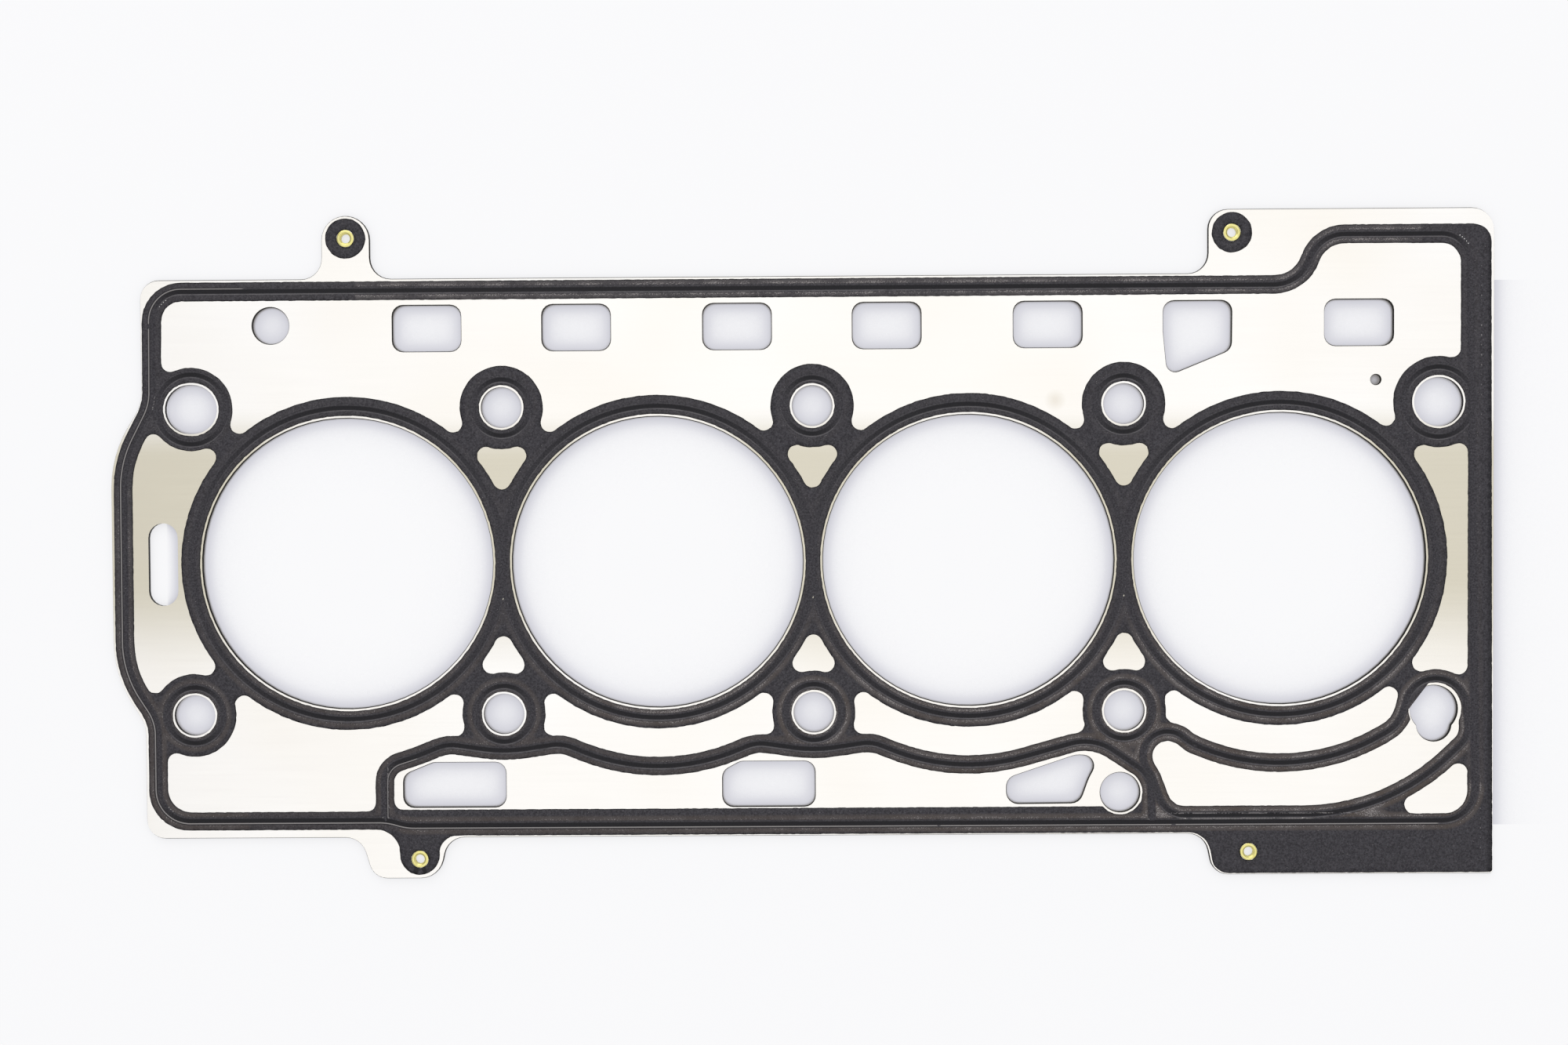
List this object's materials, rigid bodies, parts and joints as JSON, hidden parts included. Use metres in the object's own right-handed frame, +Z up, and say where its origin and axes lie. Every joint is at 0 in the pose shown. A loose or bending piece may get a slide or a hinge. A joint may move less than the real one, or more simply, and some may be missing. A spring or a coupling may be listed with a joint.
{
  "type": "cylinder head gasket",
  "caption": "Flat multi-layer steel gasket for an in-line engine's cylinder head, with pressed beads, printed rubber seal bands, bolt holes and fluid windows.",
  "frame": {"origin": "middle of the bore row, on the table that the gasket lies on", "axes": "+X along the bore row to the end with the drain hole, +Y across it to the window side, +Z up out of the face that is seen"},
  "size_m": [0.3649, 0.1756, 0.0017],
  "materials": {
    "spring_steel": "satin",
    "carrier_steel": "satin",
    "seal_print": "matte",
    "eyelet": "satin"
  },
  "bodies": {
    "root": {"top_bead_layer": "spring_steel", "top_seal_print": "seal_print", "carrier_layer": "carrier_steel", "bottom_bead_layer": "spring_steel", "bottom_seal_print": "seal_print", "eyelet_upper_left": "eyelet", "eyelet_upper_right": "eyelet", "eyelet_lower_left": "eyelet", "eyelet_lower_right": "eyelet"}
  },
  "joints": []
}
